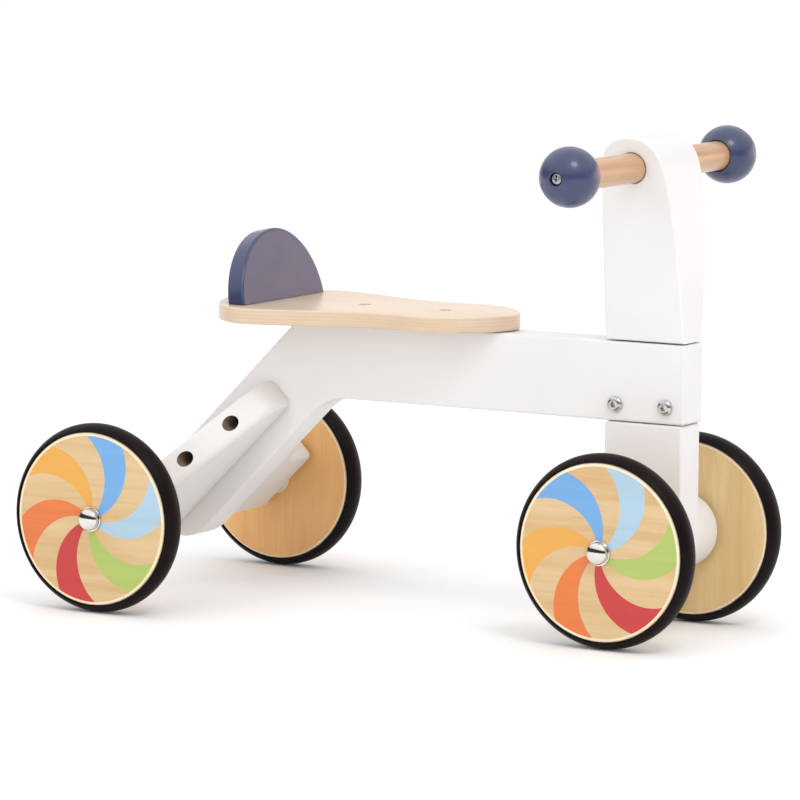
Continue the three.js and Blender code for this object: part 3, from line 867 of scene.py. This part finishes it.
def disc(end, half_w):
    """Wheel disc about Y with its printed face outward at +half_w. Faces of each arm carry its own ink."""
    solid = Solid()
    count = SPOKES * STEPS_PER_SPOKE
    bore, rim, edge = BORE_R, DISC_R, EDGE_ROUND
    phase = math.radians(ARM_PHASE[end])

    def ring(radius, y):
        twist = math.asin(min(radius, PRINT_R) / ARM_CURVE_R) + phase - math.pi / SPOKES
        turn = [twist + 2 * math.pi * k / count for k in range(count)]
        return solid.ring([(-radius * math.cos(a), y, radius * math.sin(a)) for a in turn])

    def strip(a, b, printed, plain=0):
        for i in range(count):
            j = (i + 1) % count
            spoke = i // STEPS_PER_SPOKE
            inked = printed and spoke % 2 == 0
            solid.face((a[i], a[j], b[j], b[i]), 2 + spoke // 2 if inked else plain)

    radii = [bore + (PRINT_R - bore) * k / 36 for k in range(37)]
    front = [ring(r, half_w) for r in radii]
    for a, b in zip(front, front[1:]):
        strip(a, b, True)
    outline = [(rim - edge + edge * math.sin(a), half_w - edge + edge * math.cos(a)) for a in turns(8)]
    outline += [(r, -y) for r, y in reversed(outline)] + [(bore, -half_w)]
    last = front[-1]
    for r, y in outline:
        here = ring(r, y)
        strip(last, here, False, plain=INNER_FACE if r == bore else 1)
        last = here
    strip(last, front[0], False)
    return solid


def wheel(end, side):
    body = f"wheel_{end}_{side}"
    tag = f"{end}_{side}"
    centre = middle_of(f"wheel_disc_{tag}")
    low, high = span(f"wheel_disc_{tag}")
    half = (high.y - low.y) / 2
    seed = {"front": 0.31, "rear": 0.77}[end] + {"left": 0.0, "right": 0.43}[side]
    shift = (seed, seed * 2.0, seed * 3.0)
    turn = (0, seed * 0.3, 0)
    wood = varnished_wood(f"birch_disc_{tag}", 0, shade("DECBA2"), shade("CCA673"), shift=shift, turn=turn)
    rim = varnished_wood(f"sanded_rim_{tag}", 1, shade("F7E8CE"), shade("EBD3AC"), shift=shift)
    looks = [wood, rim] + [ink(f"ink_{name}_{tag}", INKS[name], shift) for name in ARM_ORDER]
    # Inner face tone of this wheel, painted light included.
    pale, dark = (shade(c) for c in INNER_TONES_AND_LIGHT[tag])
    looks.append(varnished_wood(f"birch_back_{tag}", 2, pale, dark, shift=shift))
    solid = disc(end, half)
    if side == "right":
        solid.transform(Matrix.Diagonal((-1, -1, 1, 1)))
    solid.transform(at(*centre))
    place(f"wheel_disc_{tag}", "wheel_wood", looks, solid, body=body)

    low, high = span(f"tyre_{tag}")
    r = (high.z - low.z) / 2
    half = (high.y - low.y) / 2
    inner, shoulder = 59.8, 60.6
    rise = r - shoulder
    crown = (half * half + rise * rise) / (2 * rise)
    sweep = math.degrees(math.asin(half / crown))
    profile = [(inner, -half + 0.3), (inner + 0.3, -half)]
    profile += arc((r - crown, 0), crown, -sweep, sweep, 40)
    profile += [(inner + 0.3, half), (inner, half - 0.3)]
    tyre = lathe(profile, 192, closed=True).transform(at(*centre))
    place(f"tyre_{tag}", "tyre_rubber", RUBBER, tyre, body=body)

    for kind, slot, look in (("hub_washer", "chrome", CHROME), ("inner_washer", "nylon", NYLON)):
        low, high = span(f"{kind}_{tag}")
        r = (high.z - low.z) / 2
        t = (high.y - low.y) / 2
        e = min(0.35, t * 0.6)
        corner = [(r - e + e * math.sin(a), t - e + e * math.cos(a)) for a in turns(5)]
        profile = [(BORE_R, t)] + corner + [(a, -b) for a, b in reversed(corner)] + [(BORE_R, -t)]
        solid = lathe(profile, 96, closed=True).transform(at(*((low + high) / 2)))
        place(f"{kind}_{tag}", slot, look, solid)

    low, high = span(f"axle_cap_{tag}")
    r = (high.z - low.z) / 2
    y0, y1 = sorted((abs(low.y), abs(high.y)))
    height = y1 - y0
    dome = [(r * math.sin(a), 1.5 + (height - 1.5) * math.cos(a)) for a in turns(18)]
    profile = [(0, height)] + dome[1:] + [(r, 0.3), (r - 0.3, 0.0), (4.35, 0.0), (4.35, 3.6), (0, 3.6)]
    cap = lathe(profile, 96).transform(at(centre.x, y0, centre.z))
    place(f"axle_cap_{tag}", "chrome", CHROME, flipped(cap, side))


def axle(end):
    low, high = span(f"axle_{end}")
    centre = (low + high) / 2
    r = (high.z - low.z) / 2
    half = (high.y - low.y) / 2
    profile = [(0, half), (r - 0.6, half), (r, half - 0.6), (r, 0.6 - half), (r - 0.6, -half), (0, -half)]
    place(f"axle_{end}", "steel", STEEL, lathe(profile, 64).transform(at(centre.x, 0, centre.z)))


main_frame()
upper_post()
lower_post()
front_spacers()
handlebar()
seat()
backrest()
rear_brackets()
for where in ("rear", "front"):
    socket_head(f"post_bolt_{where}", 1, 3.0)
    socket_head(f"post_sleeve_nut_{where}", -1, 4.0)
for where in ("upper", "lower"):
    socket_head(f"bracket_bolt_{where}", 1, 3.0)
    socket_head(f"bracket_sleeve_nut_{where}", -1, 4.0)
for end in ENDS:
    axle(end)
    for side in SIDES:
        wheel(end, side)

# ---------------------------------------------------------------- studio


def studio_floor():
    mesh = bpy.data.meshes.new("studio_floor")
    r = 30.0
    mesh.from_pydata([(-r, -r, 0), (r, -r, 0), (r, r, 0), (-r, r, 0)], [], [(0, 1, 2, 3)])
    look = Look("pale_floor")
    look.set(Base_Color=(0.93, 0.93, 0.93, 1), Roughness=0.9)
    look.bsdf.inputs["Specular IOR Level"].default_value = 0.1
    mesh.materials.append(look.material)
    floor = bpy.data.objects.new("studio_floor", mesh)
    floor.location.z = CAD_LOW.z - 0.0002
    bpy.context.scene.collection.objects.link(floor)


def card(name, radius, sector, heights, colour, glow):
    """Upright curved card beside the object, seen only in reflections."""
    mesh = bpy.data.meshes.new(name)
    turn = [math.radians(a) for a in range(sector[0], sector[1] + 1, 5)]
    points = [(radius * math.cos(a), radius * math.sin(a), z) for z in heights for a in turn]
    n = len(turn)
    mesh.from_pydata(points, [], [(i, i + 1, n + i + 1, n + i) for i in range(n - 1)])
    look = Look(name)
    look.set(Base_Color=(*colour, 1), Roughness=0.9)
    look.set(Emission_Color=(*colour, 1), Emission_Strength=glow)
    mesh.materials.append(look.material)
    made = bpy.data.objects.new(name, mesh)
    for kind in ("camera", "diffuse", "shadow", "transmission"):
        setattr(made, f"visible_{kind}", False)
    bpy.context.scene.collection.objects.link(made)


def soft_light(name, where, target, size, power, colour=(1.0, 1.0, 1.0)):
    """Round area lamp turned towards the target."""
    data = bpy.data.lights.new(name, "AREA")
    data.shape = "DISK"
    data.size = size
    data.energy = power
    data.color = colour
    lamp = bpy.data.objects.new(name, data)
    lamp.location = where
    lamp.rotation_euler = (Vector(target) - Vector(where)).to_track_quat("-Z", "Y").to_euler()
    bpy.context.scene.collection.objects.link(lamp)
    return lamp


def studio_world():
    world = bpy.data.worlds.new("studio")
    world.use_nodes = True
    tree = world.node_tree
    tree.nodes.clear()
    output = tree.nodes.new("ShaderNodeOutputWorld")
    back = tree.nodes.new("ShaderNodeBackground")
    where = tree.nodes.new("ShaderNodeTexCoord")
    split = tree.nodes.new("ShaderNodeSeparateXYZ")
    fade = tree.nodes.new("ShaderNodeValToRGB")
    fade.color_ramp.interpolation = "EASE"
    fade.color_ramp.elements[0].position = 0.12
    fade.color_ramp.elements[0].color = (0.38, 0.375, 0.37, 1)
    fade.color_ramp.elements[1].position = 0.62
    fade.color_ramp.elements[1].color = (1.0, 1.0, 1.0, 1)
    back.inputs["Strength"].default_value = 1.2
    tree.links.new(where.outputs["Generated"], split.inputs[0])
    tree.links.new(split.outputs["Z"], fade.inputs[0])
    tree.links.new(fade.outputs[0], back.inputs["Color"])
    tree.links.new(back.outputs[0], output.inputs["Surface"])
    bpy.context.scene.world = world


CAMERA_AZIMUTH = math.radians(30.13)
CAMERA_ELEVATION = math.radians(7.34)
CAMERA_ROLL = math.radians(0.35)
CAMERA_LENS = 223.36
CAMERA_DISTANCE = 3.40098
CAMERA_TARGET = Vector((-0.01275, 0, 0.14465))


def studio_camera():
    """Camera on the rider's right, turned towards the front, as azimuth, elevation and roll say."""
    azimuth, elevation, roll = CAMERA_AZIMUTH, CAMERA_ELEVATION, CAMERA_ROLL
    flat = math.cos(elevation)
    back = Vector((math.sin(azimuth) * flat, -math.cos(azimuth) * flat, math.sin(elevation)))
    forward = -back
    right = forward.cross(Vector((0, 0, 1))).normalized()
    up = right.cross(forward)
    axis_x = math.cos(roll) * right + math.sin(roll) * up
    axis_y = math.cos(roll) * up - math.sin(roll) * right
    data = bpy.data.cameras.new("camera")
    data.sensor_width = 36.0
    data.lens = CAMERA_LENS
    data.clip_end = 200.0
    camera = bpy.data.objects.new("camera", data)
    turn = Matrix((axis_x, axis_y, back)).transposed().to_4x4()
    camera.matrix_world = Matrix.Translation(CAMERA_TARGET + back * CAMERA_DISTANCE) @ turn
    bpy.context.scene.collection.objects.link(camera)
    bpy.context.scene.camera = camera


studio_floor()
studio_world()
studio_camera()
soft_light("key", (1.25, -0.9, 2.1), (0, 0, 0.15), 0.8, 12, (1.0, 0.98, 0.985))
for fill in (
    soft_light("side_fill", (-0.6, -2.6, 1.0), (-0.05, 0, 0.1), 1.6, 12),
    soft_light("front_fill", (2.4, -1.4, 0.25), (0, 0, 0.1), 1.2, 7),
):
    fill.visible_glossy = False
card("dark_card", 4.5, (170, 360), (0.12, 1.7), (0.035, 0.027, 0.022), 0.0)
card("warm_card", 4.2, (30, 85), (0.0, 1.1), (0.86, 0.66, 0.62), 1.35)
card("pale_card", 4.2, (95, 150), (0.0, 1.3), (1.0, 0.92, 0.90), 0.2)

settings = bpy.context.scene.view_settings
settings.view_transform = "Standard"
settings.look = "None"
